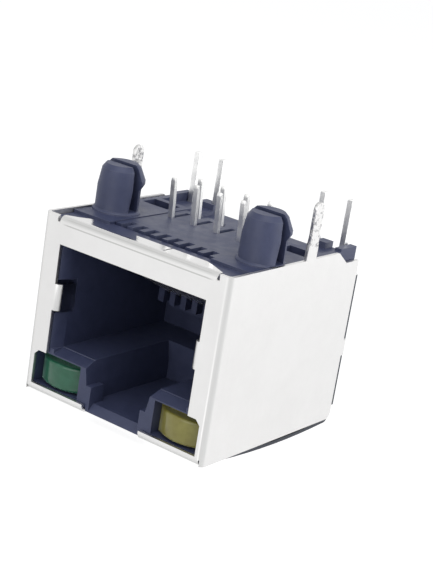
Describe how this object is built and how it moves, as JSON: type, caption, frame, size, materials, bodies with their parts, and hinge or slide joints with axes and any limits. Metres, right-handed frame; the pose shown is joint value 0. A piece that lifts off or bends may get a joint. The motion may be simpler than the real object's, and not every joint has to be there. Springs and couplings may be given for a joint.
{
  "type": "rj45 board jack",
  "caption": "Shielded modular network jack for a circuit board, with snap pegs, solder tails, ground springs and two lamps beside the latch keyway.",
  "frame": {"origin": "middle of the footprint, at the lowest point of the bowed latch wall that the jack lies on", "axes": "+X across the mouth to its right, +Y from the mouth into the jack, +Z from the latch wall to the board side, the way the pegs and tails point"},
  "size_m": [0.0162, 0.016, 0.0176],
  "materials": {
    "shell": "nickel plated, satin",
    "housing": "moulded, fine texture",
    "carrier": "moulded, fine texture",
    "contacts": "tin plated tails",
    "lamp_green": "tinted diffused resin",
    "lamp_yellow": "tinted diffused resin",
    "leads": "tin plated"
  },
  "bodies": {
    "root": {"shell": "shell", "housing": "housing", "contact_carrier": "carrier", "contact_1": "contacts", "contact_2": "contacts", "contact_3": "contacts", "contact_4": "contacts", "contact_5": "contacts", "contact_6": "contacts", "contact_7": "contacts", "contact_8": "contacts", "lamp_left": "lamp_green", "lamp_right": "lamp_yellow", "lamp_left_outer_lead": "leads", "lamp_left_inner_lead": "leads", "lamp_right_inner_lead": "leads", "lamp_right_outer_lead": "leads"}
  },
  "joints": []
}
